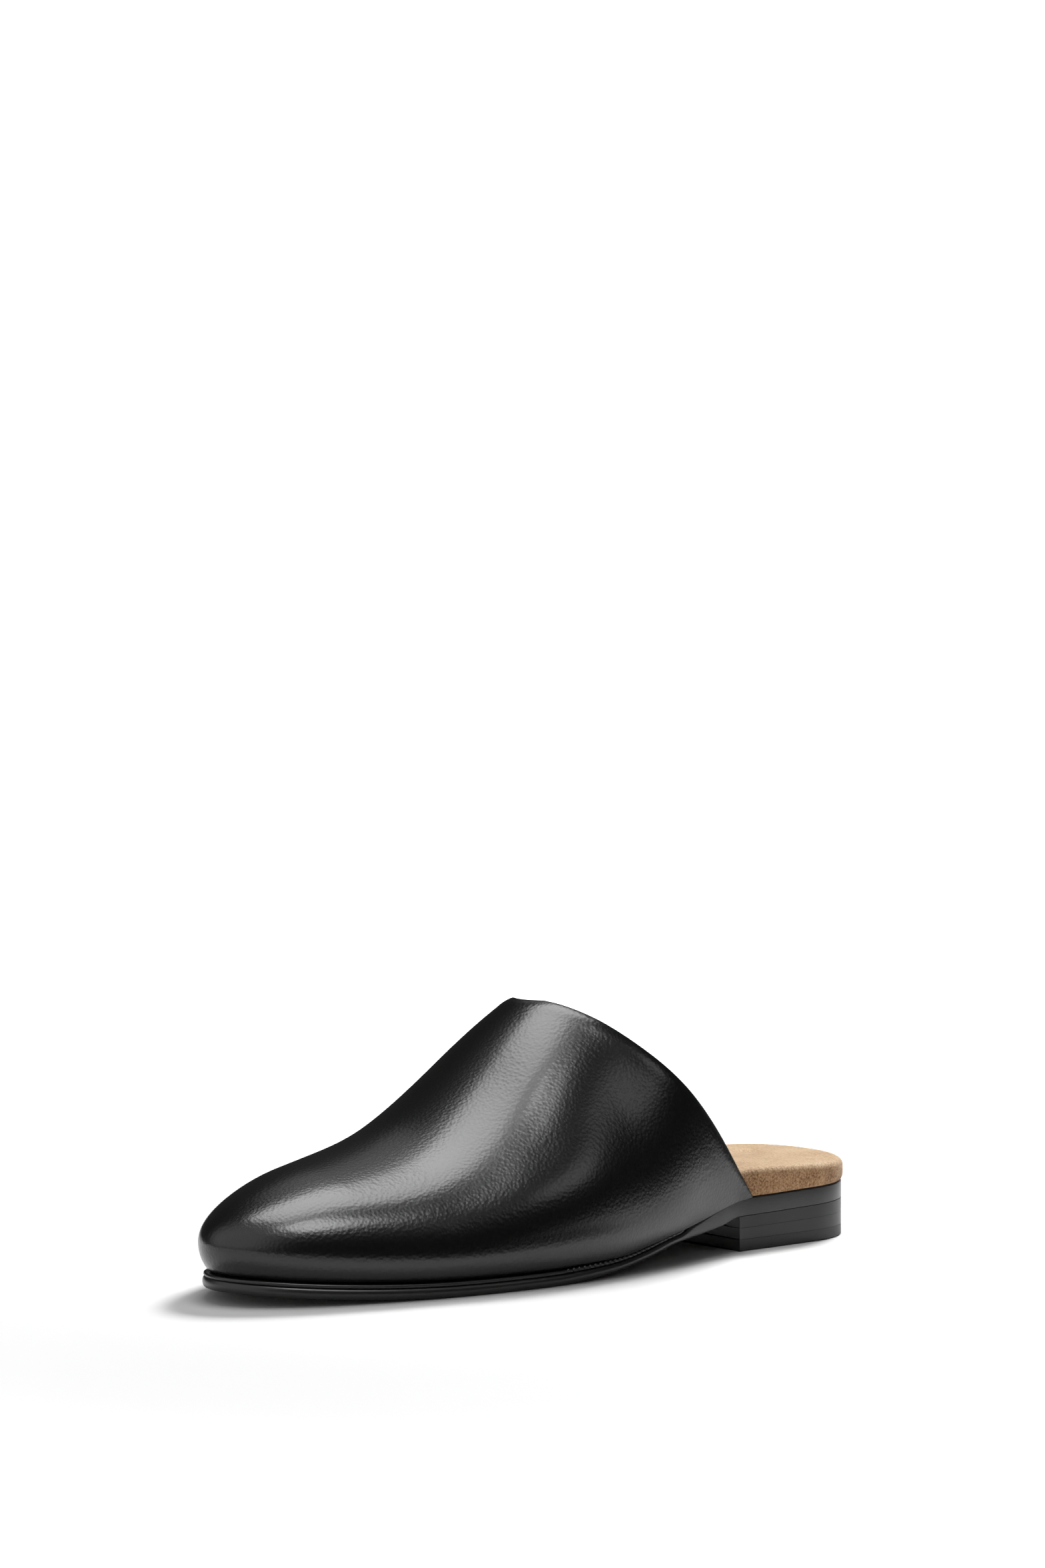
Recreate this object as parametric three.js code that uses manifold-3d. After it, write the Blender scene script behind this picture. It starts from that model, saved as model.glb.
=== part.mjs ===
// A man's leather mule for the left foot: a whole-cut upper open at the back, a suede footbed,
// a wheeled welt, a leather outsole and a stacked heel.
// Millimetres. The toe points to -Y, the outer (lateral) side to +X and up is +Z.
// "s" is the distance from the sole's toe tip towards the heel.
import * as THREE from 'three';
import { mergeVertices } from 'three/addons/utils/BufferGeometryUtils.js';
import Module from 'manifold-3d';

const wasm = await Module();
wasm.setup();

// Last and sole, seen from above
const soleLength = 288;
const heelLength = 70.7;
const breast = soleLength - heelLength;
const ballWidth = 96.6;
const seatWidth = 66;
const toeRound = 70.7;
const heelRound = 33;
const heelRoundPower = 2.3;

// Sole, seen from the side
const toeSpring = 4.8;
const treadFront = 86;
const heelHeight = 13.2;
const seatSlope = 0.02;
const forePack = 5.4;
const waistPack = 4.3;
const seatThick = 6.6;
const weltThick = 1.5;
const weltWidth = 8;
const weltLength = 190;
const edgeRound = 1.1;
const seatRound = 0.3;
const topBend = 8;
const waistThin = { from: 121, to: 155 };
const seatFlare = { from: weltLength - 12, to: weltLength + 20 };
const weltInset = 0.4;
const topPieceThick = 4.5;
const liftCount = 2;
const breastHollow = 2.5;
const glueLine = 0.1;
const clearance = 0.35;
const cutMargin = 3;

// Upper
const wall = 2.2;
const footWidth = 2.5;
const instepRise = 80;
const ridgeShift = 9;
const bulge = 4.5;
const bulgeHeight = 15;
const tuck = 3.8;
const tuckAngle = 0.96;
const toeCapLength = 43.7;
const topline = { rear: 223.5, front: 148.3, top: 97.5, along: 1.25, up: 1.03 };
const lastPastTopline = 8;

// Insole
const footbedThick = 4.5;
const heelPadThick = 10.8;
const padTailThick = 8.5;
const padRound = 3.2;
const padSwell = 0.8;
const padRises = { from: 144, to: 230 };
const padFalls = { from: 220, to: 275 };
const padShows = { from: 222, to: 236 };

// Sole outline. centre and ball are shares of ballWidth, seat of seatWidth: the half width is
// ball * ballWidth + seat * seatWidth. rise is the underside's height as a share of heelHeight.
const soleTable = [
  { at: 0.00, centre: -0.058, ball: 0.377, seat: 0.000, rise: 0.000 },
  { at: 0.10, centre: -0.070, ball: 0.406, seat: 0.000, rise: 0.000 },
  { at: 0.20, centre: -0.067, ball: 0.446, seat: 0.000, rise: 0.000 },
  { at: 0.30, centre: -0.044, ball: 0.485, seat: 0.000, rise: 0.000 },
  { at: 0.39, centre: -0.026, ball: 0.500, seat: 0.000, rise: 0.000 },
  { at: 0.48, centre: -0.004, ball: 0.478, seat: 0.000, rise: 0.110 },
  { at: 0.56, centre: 0.014, ball: 0.400, seat: 0.040, rise: 0.340 },
  { at: 0.62, centre: 0.024, ball: 0.250, seat: 0.205, rise: 0.600 },
  { at: 0.67, centre: 0.025, ball: 0.150, seat: 0.308, rise: 0.700 },
  { at: 0.72, centre: 0.018, ball: 0.050, seat: 0.428, rise: 0.840 },
  { at: breast / soleLength, centre: 0.012, ball: 0.010, seat: 0.475, rise: 1.000 },
  { at: 0.79, centre: 0.007, ball: 0.000, seat: 0.502, rise: 1.000 },
  { at: 0.88, centre: 0.007, ball: 0.000, seat: 0.514, rise: 1.000 },
  { at: 1.00, centre: 0.006, ball: 0.000, seat: 0.536, rise: 1.000 },
];

// Upper. rise: ridge above the widest line, share of instepRise. fullness: how square the section
// is. shift: ridge towards the inner side, share of ridgeShift. out: widest line beyond the sole,
// share of bulge. lift: widest line above the sole, share of bulgeHeight. tuck: share of tuck.
const upperTable = [
  { at: 0.00, rise: 0.234, fullness: 0.00, shift: 0.00, out: 0.35, lift: 0.66, tuck: 1.00 },
  { at: 0.10, rise: 0.306, fullness: 0.00, shift: 0.22, out: 0.36, lift: 0.64, tuck: 1.00 },
  { at: 0.20, rise: 0.390, fullness: 0.00, shift: 0.44, out: 0.40, lift: 0.62, tuck: 1.00 },
  { at: 0.30, rise: 0.507, fullness: 0.00, shift: 0.67, out: 0.45, lift: 0.62, tuck: 1.00 },
  { at: 0.40, rise: 0.736, fullness: -0.05, shift: 0.89, out: 0.56, lift: 0.66, tuck: 1.00 },
  { at: 0.50, rise: 0.965, fullness: -0.10, shift: 1.00, out: 0.78, lift: 0.80, tuck: 1.00 },
  { at: 0.60, rise: 1.120, fullness: -0.15, shift: 0.90, out: 0.95, lift: 0.93, tuck: 0.90 },
  { at: 0.70, rise: 1.350, fullness: -0.15, shift: 0.70, out: 0.75, lift: 1.00, tuck: 0.45 },
  { at: 0.80, rise: 1.550, fullness: -0.15, shift: 0.50, out: 0.62, lift: 1.00, tuck: 0.15 },
];

// Mesh density
const outlineSteps = 60;
const upperRows = 44;
const domeSteps = 22;
const tuckSteps = 4;
const breastSteps = 8;
const toeCrowding = 1.6;
const cutSteps = 40;
const weldDistance = 1e-4;

const clamp01 = (t) => Math.min(1, Math.max(0, t));
const smooth = (from, to, t) => THREE.MathUtils.smoothstep(t, from, to);
const blend = THREE.MathUtils.lerp;

// A natural cubic spline through one column of a table, read at s
function column(table, key) {
  const xs = table.map((row) => row.at * soleLength);
  const ys = table.map((row) => row[key]);
  const last = xs.length - 1;
  const bend = new Array(last + 1).fill(0);
  const ratio = new Array(last + 1).fill(0);
  for (let i = 1; i < last; i += 1) {
    const before = xs[i] - xs[i - 1];
    const after = xs[i + 1] - xs[i];
    const pull = 6 * ((ys[i + 1] - ys[i]) / after - (ys[i] - ys[i - 1]) / before);
    const pivot = 2 * (before + after) - before * ratio[i - 1];
    ratio[i] = after / pivot;
    bend[i] = (pull - before * bend[i - 1]) / pivot;
  }
  for (let i = last - 1; i > 0; i -= 1) bend[i] -= ratio[i] * bend[i + 1];
  return (s) => {
    let i = 0;
    while (i < last - 1 && s > xs[i + 1]) i += 1;
    const span = xs[i + 1] - xs[i];
    const a = (xs[i + 1] - s) / span;
    const b = (s - xs[i]) / span;
    const curve = (a ** 3 - a) * bend[i] + (b ** 3 - b) * bend[i + 1];
    return a * ys[i] + b * ys[i + 1] + (curve * span * span) / 6;
  };
}

// A curve through one column that never overshoots its rows, read at s
function steadyColumn(table, key) {
  const xs = table.map((row) => row.at * soleLength);
  const ys = table.map((row) => row[key]);
  const steps = xs.slice(1).map((x, i) => (ys[i + 1] - ys[i]) / (x - xs[i]));
  const slopes = xs.map((_, i) => {
    if (i === 0 || i === xs.length - 1) return 0;
    const product = steps[i - 1] * steps[i];
    return product <= 0 ? 0 : (2 * product) / (steps[i - 1] + steps[i]);
  });
  return (s) => {
    let i = 0;
    while (i < xs.length - 2 && s > xs[i + 1]) i += 1;
    const span = xs[i + 1] - xs[i];
    const t = clamp01((s - xs[i]) / span);
    const inverse = 1 - t;
    return (
      ys[i] * (1 + 2 * t) * inverse * inverse + slopes[i] * span * t * inverse * inverse
      + ys[i + 1] * t * t * (3 - 2 * t) - slopes[i + 1] * span * t * t * inverse
    );
  };
}

const centreShare = column(soleTable, 'centre');
const ballShare = column(soleTable, 'ball');
const seatShare = column(soleTable, 'seat');
const riseShare = steadyColumn(soleTable, 'rise');
const ridgeRise = column(upperTable, 'rise');
const fullness = column(upperTable, 'fullness');
const shiftShare = column(upperTable, 'shift');
const outShare = column(upperTable, 'out');
const liftShare = column(upperTable, 'lift');
const tuckShare = column(upperTable, 'tuck');

const centreLine = (s) => centreShare(s) * ballWidth;
const plainHalf = (s) => ballShare(s) * ballWidth + seatShare(s) * seatWidth;

// Rounded end of an outline: 0 at the tip and 1 from "reach" on
function rounding(distance, reach, power = 2) {
  const t = 1 - clamp01(distance / reach);
  return (1 - t ** power) ** (1 / power);
}

function soleHalf(s) {
  return plainHalf(s) * rounding(s, toeRound) * rounding(soleLength - s, heelRound, heelRoundPower);
}

// Height of the outsole's underside
function underside(s) {
  const spring = toeSpring * clamp01((treadFront - s) / treadFront) ** 2;
  return spring + riseShare(s) * heelHeight + seatSlope * Math.max(0, s - breast);
}

// How far the sole has turned from its thin waist into the heel seat, 0 to 1
const seatness = (s) => smooth(seatFlare.from, seatFlare.to, s);

// Outsole and welt together: the height of the sole's top above its underside
function packThick(s) {
  const fore = blend(forePack, waistPack, smooth(waistThin.from, waistThin.to, s));
  return blend(fore, seatThick, seatness(s));
}

// The sole's top bends more gently than its underside
function soleTop(s) {
  const around = (underside(s - topBend) + 2 * underside(s) + underside(s + topBend)) / 4;
  return around + packThick(s);
}

// Turns from the heel tip (0) to the toe tip (PI), even but for two that fall where the welt ends
// and where the heel begins. Even turns crowd the outline's points into both rounded ends.
function outlineTurns() {
  const turnAt = (s) => Math.acos((2 * s) / soleLength - 1);
  const exact = [turnAt(breast), turnAt(weltLength)];
  const step = Math.PI / outlineSteps;
  const even = Array.from({ length: outlineSteps + 1 }, (_, k) => k * step);
  const clear = even.filter((turn) => exact.every((other) => Math.abs(turn - other) > step / 2));
  return [...clear, ...exact].sort((a, b) => a - b);
}

// Points around the sole's outline: heel, outer side, toe, inner side. Each has its outward
// direction in plan.
function soleOutline() {
  const place = (turn, side) => {
    const s = (soleLength * (1 + Math.cos(turn))) / 2;
    return new THREE.Vector2(centreLine(s) + side * soleHalf(s), s);
  };
  const nudge = 1e-3;
  const at = (side) => (turn, k, turns) => {
    const { x, y: s } = place(turn, side);
    const along = place(turn + nudge, side).sub(place(turn - nudge, side)).normalize();
    const out = new THREE.Vector2(-side * along.y, side * along.x);
    if (k === 0) out.set(0, 1);
    if (k === turns.length - 1) out.set(0, -1);
    return { x, s, out };
  };
  const turns = outlineTurns();
  return [...turns.map(at(1)), ...turns.map(at(-1)).slice(1, -1).reverse()];
}

const outline = soleOutline();
const toeIndex = outline.length / 2;

// The outline moved in by inset(s) and lifted to height(s)
function ring(inset, height) {
  return outline.map(({ x, s, out }) => {
    const move = inset(s);
    const moved = s - out.y * move;
    return new THREE.Vector3(x - out.x * move, moved, height(Math.min(soleLength, Math.max(0, moved))));
  });
}

// Triangle soup, turned into one closed indexed geometry
class Skin {
  constructor() {
    this.corners = [];
  }

  triangle(a, b, c) {
    const sides = [a.distanceTo(b), b.distanceTo(c), c.distanceTo(a)];
    if (Math.min(...sides) < weldDistance) return;
    this.corners.push(a.x, a.y, a.z, b.x, b.y, b.z, c.x, c.y, c.z);
  }

  quad(a, b, c, d) {
    if (a.distanceTo(c) <= b.distanceTo(d)) {
      this.triangle(a, b, c);
      this.triangle(a, c, d);
    } else {
      this.triangle(a, b, d);
      this.triangle(b, c, d);
    }
  }

  // Joins closed loops of equal length, one after another
  loft(loops) {
    for (let i = 0; i + 1 < loops.length; i += 1) {
      const here = loops[i];
      const next = loops[i + 1];
      here.forEach((point, j) => {
        const k = (j + 1) % here.length;
        this.quad(point, next[j], next[k], here[k]);
      });
    }
  }

  // Closes a ring whose points mirror each other across the sole's centre line
  zip(loop, upward) {
    const count = loop.length;
    for (let k = 0; k < count / 2; k += 1) {
      const corners = [loop[k], loop[k + 1], loop[count - k - 1], loop[(count - k) % count]];
      if (upward) corners.reverse();
      this.quad(...corners);
    }
  }

  // Closes any flat ring
  fill(loop, upward) {
    const flat = loop.map((point) => new THREE.Vector2(point.x, point.y));
    for (const face of THREE.ShapeUtils.triangulateShape(flat, [])) {
      const [a, b, c] = face.map((index) => loop[index]);
      const area = new THREE.Vector3().crossVectors(b.clone().sub(a), c.clone().sub(a)).z;
      if (area > 0 === upward) this.triangle(a, b, c);
      else this.triangle(a, c, b);
    }
  }

  geometry() {
    const soup = new THREE.BufferGeometry();
    soup.setAttribute('position', new THREE.Float32BufferAttribute(this.corners, 3));
    return mergeVertices(soup, weldDistance);
  }
}

function toSolid(geometry) {
  const mesh = new wasm.Mesh({
    numProp: 3,
    vertProperties: new Float32Array(geometry.attributes.position.array),
    triVerts: new Uint32Array(geometry.index.array),
  });
  return new wasm.Manifold(mesh);
}

function toGeometry(solid) {
  const mesh = solid.getMesh();
  const geometry = new THREE.BufferGeometry();
  geometry.setAttribute('position', new THREE.BufferAttribute(mesh.vertProperties, 3));
  geometry.setIndex(new THREE.BufferAttribute(mesh.triVerts, 1));
  return geometry;
}

// Welt: a strip around the front, its outer edge just inside the outsole's
function weltSkin(outer, inner, low, high, endAt) {
  const first = outline.findIndex((point) => point.s < endAt + 1e-6);
  const rails = [
    ring(() => outer, low),
    ring(() => inner, low),
    ring(() => inner, high),
    ring(() => outer, high),
  ];
  const stations = [];
  for (let k = first; k <= outline.length - first; k += 1) {
    stations.push(rails.map((rail) => rail[k]));
  }
  const skin = new Skin();
  skin.loft(stations);
  skin.quad(...stations[0]);
  skin.quad(...stations.at(-1).slice().reverse());
  return skin.geometry();
}

function makeWelt() {
  return weltSkin(weltInset, weltWidth, (s) => soleTop(s) - weltThick, soleTop, weltLength);
}

function makeOutsole() {
  const roundness = (s) => blend(edgeRound, seatRound, seatness(s));
  const edgeHeight = (s) => packThick(s) - (1 - seatness(s)) * (weltThick + clearance);
  // Edge profile, from the tread up: height as a share of the edge, inset as a share of its round
  const profile = [
    { up: 0.00, inset: 1.00 },
    { up: 0.14, inset: 0.40 },
    { up: 0.38, inset: 0.00 },
    { up: 0.68, inset: 0.05 },
    { up: 0.90, inset: 0.40 },
    { up: 1.00, inset: 0.90 },
  ];
  const rings = profile.map(({ up, inset }) => ring(
    (s) => inset * roundness(s),
    (s) => underside(s) + up * edgeHeight(s),
  ));
  rings.push(ring(roundness, soleTop));
  const skin = new Skin();
  skin.loft(rings);
  skin.zip(rings[0], false);
  skin.zip(rings.at(-1), true);
  const room = weltSkin(
    -cutMargin,
    weltWidth + clearance,
    (s) => soleTop(s) - weltThick - clearance,
    (s) => soleTop(s) + cutMargin,
    weltLength,
  );
  return toGeometry(toSolid(skin.geometry()).subtract(toSolid(room)));
}

// Plan of the heel: the sole's outline behind the breast, closed by the hollow breast line
function heelPlan() {
  const corner = (side) => new THREE.Vector2(centreLine(breast) + side * soleHalf(breast), breast);
  const plan = [];
  const behind = ({ s }) => s > breast + 1;
  const toPlan = ({ x, s }) => new THREE.Vector2(x, s);
  plan.push(...outline.slice(0, toeIndex).filter(behind).map(toPlan));
  for (let i = 0; i <= breastSteps; i += 1) {
    const across = 1 - (2 * i) / breastSteps;
    const point = corner(1).lerp(corner(-1), i / breastSteps);
    plan.push(new THREE.Vector2(point.x, breast + breastHollow * (1 - across * across)));
  }
  plan.push(...outline.slice(toeIndex + 1).filter(behind).map(toPlan));
  return plan;
}

function makeHeelLayer(low, high) {
  const raise = (height) => heelPlan().map((p) => new THREE.Vector3(p.x, p.y, height(p.y)));
  const skin = new Skin();
  const rings = [raise(low), raise(high)];
  skin.loft(rings);
  skin.fill(rings[0], false);
  skin.fill(rings[1], true);
  return skin.geometry();
}

// Upper. u runs across the section from the outer foot (-1) over the ridge (0) to the inner
// foot (1). v runs from the toe tip (0) back along the last.
const domeShare = domeSteps / (domeSteps + 2 * tuckSteps);
const toeOut = outShare(0) * bulge;
const reachBack = topline.rear + lastPastTopline;

const lastStation = (v) => -toeOut + (reachBack + toeOut) * v ** toeCrowding;
const lastHalf = (s) => (plainHalf(s) + outShare(s) * bulge) * rounding(s + toeOut, toeRound + toeOut);
const footHeight = (s) => soleTop(Math.max(0, s)) + clearance;
const widestHeight = (s) => footHeight(s) + liftShare(s) * bulgeHeight;

function widestPoint(v, side) {
  const s = lastStation(v);
  return new THREE.Vector2(centreLine(s) + side * lastHalf(s), s);
}

function inwardAt(v, side) {
  if (v < 1e-6) return new THREE.Vector2(0, 1);
  const step = Math.min(1e-3, v / 2);
  const along = widestPoint(v + step, side).sub(widestPoint(v - step, side)).normalize();
  return new THREE.Vector2(-side * along.y, side * along.x);
}

function outerPoint(u, v) {
  const s = lastStation(v);
  const side = u < 0 ? 1 : -1;
  const low = widestHeight(s);
  if (Math.abs(u) <= domeShare) {
    const across = -Math.sin((Math.PI / 2) * (u / domeShare));
    const round = Math.sqrt(Math.max(0, 1 - across * across));
    const shift = shiftShare(s) * ridgeShift * rounding(s + toeOut, toeRound);
    const rise = ridgeRise(s) * instepRise * rounding(s + toeOut, toeCapLength + toeOut);
    const x = centreLine(s) + lastHalf(s) * across - shift * round * round;
    return new THREE.Vector3(x, s, low + rise * round * (1 + fullness(s) * across * across));
  }
  const turn = (tuckAngle * (Math.abs(u) - domeShare)) / (1 - domeShare);
  const depth = (tuckShare(s) * tuck) / (1 - Math.cos(tuckAngle));
  const inset = depth * (1 - Math.cos(turn));
  const point = widestPoint(v, side).addScaledVector(inwardAt(v, side), inset);
  const height = blend(low, footHeight(point.y), Math.sin(turn) / Math.sin(tuckAngle));
  return new THREE.Vector3(point.x, point.y, height);
}

function outwardAt(u, v) {
  const step = 1e-4;
  if (v < 1e-6) {
    const away = Math.abs(u);
    if (away <= domeShare + step) return new THREE.Vector3(0, -1, 0);
    const up = outerPoint(-away + step, 0).sub(outerPoint(Math.max(-1, -away - step), 0));
    return new THREE.Vector3(0, -up.z, up.y).normalize();
  }
  const v0 = Math.max(v, 2 * step);
  const across = outerPoint(Math.min(1, u + step), v0).sub(outerPoint(Math.max(-1, u - step), v0));
  const along = outerPoint(u, v0 + step).sub(outerPoint(u, v0 - step));
  return across.cross(along).normalize().negate();
}

function innerPoint(u, v) {
  const outer = outerPoint(u, v);
  if (Math.abs(u) > 1 - 1e-9) {
    const inward = inwardAt(v, u < 0 ? 1 : -1).multiplyScalar(footWidth);
    const y = outer.y + inward.y;
    return new THREE.Vector3(outer.x + inward.x, y, footHeight(y));
  }
  return outer.addScaledVector(outwardAt(u, v), -wall);
}

// Topline: a curved cut straight across the last. Below 1 the leather stays
function cutAt(point) {
  const foot = soleTop(topline.rear);
  const along = Math.max(0, point.y - topline.front) / (topline.rear - topline.front);
  const up = Math.max(0, point.z - foot) / (topline.top - foot);
  return along ** topline.along + up ** topline.up;
}

function cutStation(surface, u) {
  let low = 0;
  let high = 1;
  for (let i = 0; i < cutSteps; i += 1) {
    const middle = (low + high) / 2;
    if (cutAt(surface(u, middle)) < 1) low = middle;
    else high = middle;
  }
  return low;
}

function makeUpper() {
  const columns = domeSteps + 2 * tuckSteps;
  const grid = (surface) => {
    const us = Array.from({ length: columns + 1 }, (_, j) => (2 * j) / columns - 1);
    const ends = us.map((u) => cutStation(surface, u));
    return Array.from({ length: upperRows + 1 }, (_, i) => (
      us.map((u, j) => surface(u, (ends[j] * i) / upperRows))
    ));
  };
  const outer = grid(outerPoint);
  const inner = grid(innerPoint);
  const skin = new Skin();
  skin.loft(outer.map((row, i) => [...row, ...inner[i].slice().reverse()]));
  const rim = outer.at(-1);
  const lining = inner.at(-1);
  for (let j = 0; j < columns; j += 1) skin.quad(rim[j + 1], rim[j], lining[j], lining[j + 1]);
  return skin.geometry();
}

// Insole: a pad inside the upper's foot, thicker and rounder where it shows on the heel seat
function makeInsole() {
  const shown = (s) => smooth(padShows.from, padShows.to, s);
  const inside = (s) => tuckShare(s) * tuck + footWidth + clearance - outShare(s) * bulge;
  const edge = (s) => blend(Math.max(clearance, inside(Math.min(s, topline.rear))), clearance, shown(s));
  const thick = (s) => {
    const rising = blend(footbedThick, heelPadThick, smooth(padRises.from, padRises.to, s));
    return blend(rising, padTailThick, smooth(padFalls.from, padFalls.to, s));
  };
  const corner = (s) => Math.min(padRound, thick(s) / 2);
  const low = (s) => soleTop(s) + clearance;
  // Side of the pad, from the sole up: height share, swell beyond the seat, round of the corner
  const profile = [
    { up: 0.00, swell: 0.00, round: 0.00 },
    { up: 0.20, swell: 0.70, round: 0.00 },
    { up: 0.45, swell: 1.00, round: 0.00 },
    { up: 0.70, swell: 1.00, round: 0.08 },
    { up: 0.86, swell: 1.00, round: 0.30 },
    { up: 0.96, swell: 1.00, round: 0.65 },
    { up: 1.00, swell: 1.00, round: 1.15 },
  ];
  const rings = profile.map(({ up, swell, round }) => ring(
    (s) => edge(s) - swell * padSwell * shown(s) + round * corner(s),
    (s) => low(s) + up * thick(s),
  ));
  const skin = new Skin();
  skin.loft(rings);
  skin.zip(rings[0], false);
  skin.zip(rings.at(-1), true);
  return skin.geometry();
}

const materials = {
  calf: { color: 0x141415, roughness: 0.32, metalness: 0 },
  suede: { color: 0xc2a07a, roughness: 0.95, metalness: 0 },
  edge: { color: 0x161617, roughness: 0.4, metalness: 0 },
  stack: { color: 0x1a1a1b, roughness: 0.45, metalness: 0 },
  rubber: { color: 0x121213, roughness: 0.6, metalness: 0 },
};

const mule = new THREE.Group();

function addPiece(name, geometry, material) {
  geometry.computeVertexNormals();
  const piece = new THREE.Mesh(geometry, new THREE.MeshStandardMaterial(materials[material]));
  piece.name = name;
  mule.add(piece);
}

addPiece('upper', makeUpper(), 'calf');
addPiece('insole', makeInsole(), 'suede');
addPiece('welt', makeWelt(), 'edge');
addPiece('outsole', makeOutsole(), 'edge');

// Heel: the top piece lies on the floor and the lifts share what is left below the seat
addPiece('top_piece', makeHeelLayer(() => 0, () => topPieceThick), 'rubber');
for (let i = 0; i < liftCount; i += 1) {
  const level = (share) => (s) => blend(topPieceThick, underside(s), share);
  const low = level(i / liftCount);
  const high = level((i + 1) / liftCount);
  const lift = makeHeelLayer((s) => low(s) + glueLine, (s) => high(s) - glueLine);
  addPiece(`heel_lift_${i + 1}`, lift, 'stack');
}

// The origin lies under the middle of the whole shoe
const box = new THREE.Box3().setFromObject(mule, true);
const middle = box.getCenter(new THREE.Vector3());
mule.position.set(-middle.x, -middle.y, -box.min.z);

export default mule;
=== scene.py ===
# A man's left leather mule, dressed in box calf, suede, burnished edge leather and rubber.
import math
import bmesh
import bpy
import numpy as np
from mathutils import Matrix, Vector


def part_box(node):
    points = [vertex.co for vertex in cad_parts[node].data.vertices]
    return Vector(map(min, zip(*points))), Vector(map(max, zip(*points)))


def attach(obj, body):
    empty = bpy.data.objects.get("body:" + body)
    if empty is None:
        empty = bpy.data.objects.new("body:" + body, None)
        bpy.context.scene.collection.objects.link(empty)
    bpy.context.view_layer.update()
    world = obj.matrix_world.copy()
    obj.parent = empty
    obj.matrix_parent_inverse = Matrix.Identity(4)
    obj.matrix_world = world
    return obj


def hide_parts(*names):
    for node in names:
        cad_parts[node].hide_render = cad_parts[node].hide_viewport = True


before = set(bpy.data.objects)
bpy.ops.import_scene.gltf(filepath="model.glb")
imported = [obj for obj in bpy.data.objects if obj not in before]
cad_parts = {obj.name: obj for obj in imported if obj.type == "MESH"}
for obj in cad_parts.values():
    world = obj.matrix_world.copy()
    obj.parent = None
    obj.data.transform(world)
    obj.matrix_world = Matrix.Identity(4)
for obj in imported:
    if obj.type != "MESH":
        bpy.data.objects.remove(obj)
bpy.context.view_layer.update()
MM = 0.001

# Camera. Lengths in metres, pixels of the 1568 x 2352 photograph
PHOTO_WIDTH, PHOTO_HEIGHT = 1568, 2352
SENSOR_MM = 36
FOCAL_PIXELS = 6082
AIM = np.array((0.0021, 0.0005, 0.045))
AIM_PIXEL = (802.2, 1711.3)
AZIMUTH, ELEVATION, DISTANCE = math.radians(47.98), math.radians(7.50), 1.5

# Last and sole, in millimetres. s is the distance from the sole's toe tip towards the heel
SOLE_LENGTH = 288.0
BREAST = SOLE_LENGTH - 70.7
BALL_WIDTH, SEAT_WIDTH = 96.6, 66.0
TOE_ROUND, HEEL_ROUND, HEEL_ROUND_POWER = 70.7, 33.0, 2.3
TOE_SPRING, TREAD_FRONT, HEEL_HEIGHT, SEAT_SLOPE = 4.8, 86.0, 13.2, 0.02
FORE_PACK, WAIST_PACK, SEAT_THICK = 5.4, 4.3, 6.6
WAIST_THIN = (121.0, 155.0)
WELT_THICK, WELT_WIDTH, WELT_LENGTH, WELT_INSET, WELT_POINT = 1.5, 8.0, 190.0, 0.4, 9.0
SEAT_FLARE = (WELT_LENGTH - 12, WELT_LENGTH + 20)
EDGE_ROUND, SEAT_ROUND, TOP_BEND = 1.1, 0.3, 8.0
TOP_PIECE, LIFTS, BREAST_HOLLOW, TREAD_BEVEL, JOINT_BEVEL = 4.5, 2, 2.5, 0.4, 0.02
# Share of its height that the edge's round takes below and above, at the forepart and the seat
ROUND_SHARE = (0.5, 0.06)
CLEARANCE, WELT_GAP = 0.35, 0.04

# Upper
WALL, FOOT_WIDTH, INSTEP_RISE, RIDGE_SHIFT = 2.2, 2.5, 80.0, 9.0
BULGE, BULGE_HEIGHT, TUCK, TUCK_ANGLE, TOE_CAP = 4.5, 15.0, 3.8, 0.96, 43.7
TOPLINE_REAR, TOPLINE_FRONT, TOPLINE_TOP = 223.5, 148.3, 97.5
TOPLINE_ALONG, TOPLINE_UP, PAST_TOPLINE = 1.25, 1.03, 8.0
TOE_CROWDING = 1.6

# Insole
FOOTBED_THICK, HEEL_PAD_THICK, PAD_TAIL_THICK, PAD_ROUND, PAD_SWELL = 4.5, 10.8, 8.5, 3.2, 0.8
PAD_RISES, PAD_FALLS, PAD_SHOWS = (144.0, 230.0), (220.0, 275.0), (222.0, 236.0)
CROWN, CROWN_FADE, RIM_WAVER, RIM_WAVES = 0.6, 16.0, 0.2, (3.1, 1.7)
# Shares of the height and of the swell, up the pad's side
PAD_PROFILE = ((0, 0), (0.06, 0.4), (0.2, 0.75), (0.42, 1.0), (0.6, 1.0))
# A dent in the middle of the heel seat: its place across and along, and its size
DIMPLE, DIMPLE_REACH, DIMPLE_DEPTH = (-7.8, 261.4), 7.5, 1.6

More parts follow.
